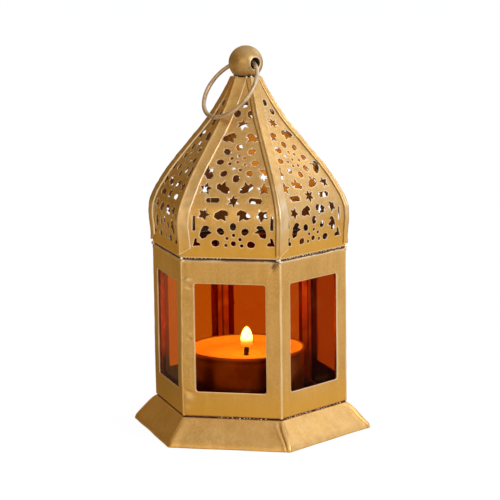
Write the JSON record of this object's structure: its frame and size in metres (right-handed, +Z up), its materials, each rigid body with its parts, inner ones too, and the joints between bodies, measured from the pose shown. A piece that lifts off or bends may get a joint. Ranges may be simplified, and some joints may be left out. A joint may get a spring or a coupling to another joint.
{
  "type": "candle lantern",
  "caption": "Six-sided sheet metal candle lantern: pierced onion dome, amber panes, flared foot, hinged rear door, ball finial with a loose carrying ring, tealight inside.",
  "frame": {"origin": "under the middle of the base, on the surface that the lantern stands on", "axes": "+Z up through the ball finial; -Y is the direction that the front side faces; +Y is the door; +X passes through a corner of the body"},
  "size_m": [0.0812, 0.0704, 0.1283],
  "materials": {
    "gold_sheet": "satin gold lacquer over tin sheet, fine grain",
    "gold_fittings": "satin gold lacquer, a little darker and worn bright on edges",
    "amber_glass": "transparent amber glass, smooth and slightly smoky",
    "bare_strip": "dull lacquered strip",
    "wire": "drawn wire, lacquered and rubbed",
    "candle_tin": "thin pressed foil",
    "wax": "smooth wax",
    "wick": "charred cotton"
  },
  "bodies": {
    "lantern": {"base_skirt": "gold_sheet", "floor_plate": "gold_sheet", "side_front": "gold_sheet", "side_front_right": "gold_sheet", "side_rear_right": "gold_sheet", "side_rear_left": "gold_sheet", "side_front_left": "gold_sheet", "pane_front": "amber_glass", "pane_front_right": "amber_glass", "pane_rear_right": "amber_glass", "pane_rear_left": "amber_glass", "pane_front_left": "amber_glass", "channels_front": "bare_strip", "channels_front_right": "bare_strip", "channels_rear_right": "bare_strip", "channels_rear_left": "bare_strip", "channels_front_left": "bare_strip", "dome_seam_ring": "gold_sheet", "dome_panel_front": "gold_sheet", "dome_panel_front_right": "gold_sheet", "dome_panel_rear_right": "gold_sheet", "dome_panel_rear": "gold_sheet", "dome_panel_rear_left": "gold_sheet", "dome_panel_front_left": "gold_sheet", "dome_cap": "gold_sheet", "finial_ball": "gold_fittings", "hinge_leaves_body": "gold_fittings", "hinge_pins": "wire", "button_rivet": "wire"},
    "door": {"door_frame": "gold_sheet", "door_pane": "amber_glass", "door_channels": "bare_strip", "door_knob": "gold_fittings", "hinge_leaves_door": "gold_fittings"},
    "turn_button": {"turn_button": "gold_fittings"},
    "carrying_ring": {"carrying_ring": "wire"},
    "candle": {"candle_cup": "candle_tin", "candle_wax": "wax", "candle_wick": "wick", "wick_foot": "candle_tin"}
  },
  "joints": [
    {"name": "door_hinge", "type": "hinge", "parent": "lantern", "child": "door", "pos_m": [0.01731, 0.02998, 0.0354], "axis": [0, 0, -1], "range_deg": [0, 170]},
    {"name": "button_pivot", "type": "hinge", "parent": "lantern", "child": "turn_button", "pos_m": [-0.01809, 0.02673, 0.0354], "axis": [-0.866, 0.5, 0], "range_deg": [0, 90]},
    {"name": "ring_swing", "type": "hinge", "parent": "lantern", "child": "carrying_ring", "pos_m": [0, 0, 0.1226], "axis": [-0.766, 0.6428, 0], "range_deg": [0, 282]},
    {"name": "candle_lift", "type": "slide", "parent": "lantern", "child": "candle", "axis": [0, 0, 1], "range_m": [0, 0.02]}
  ]
}
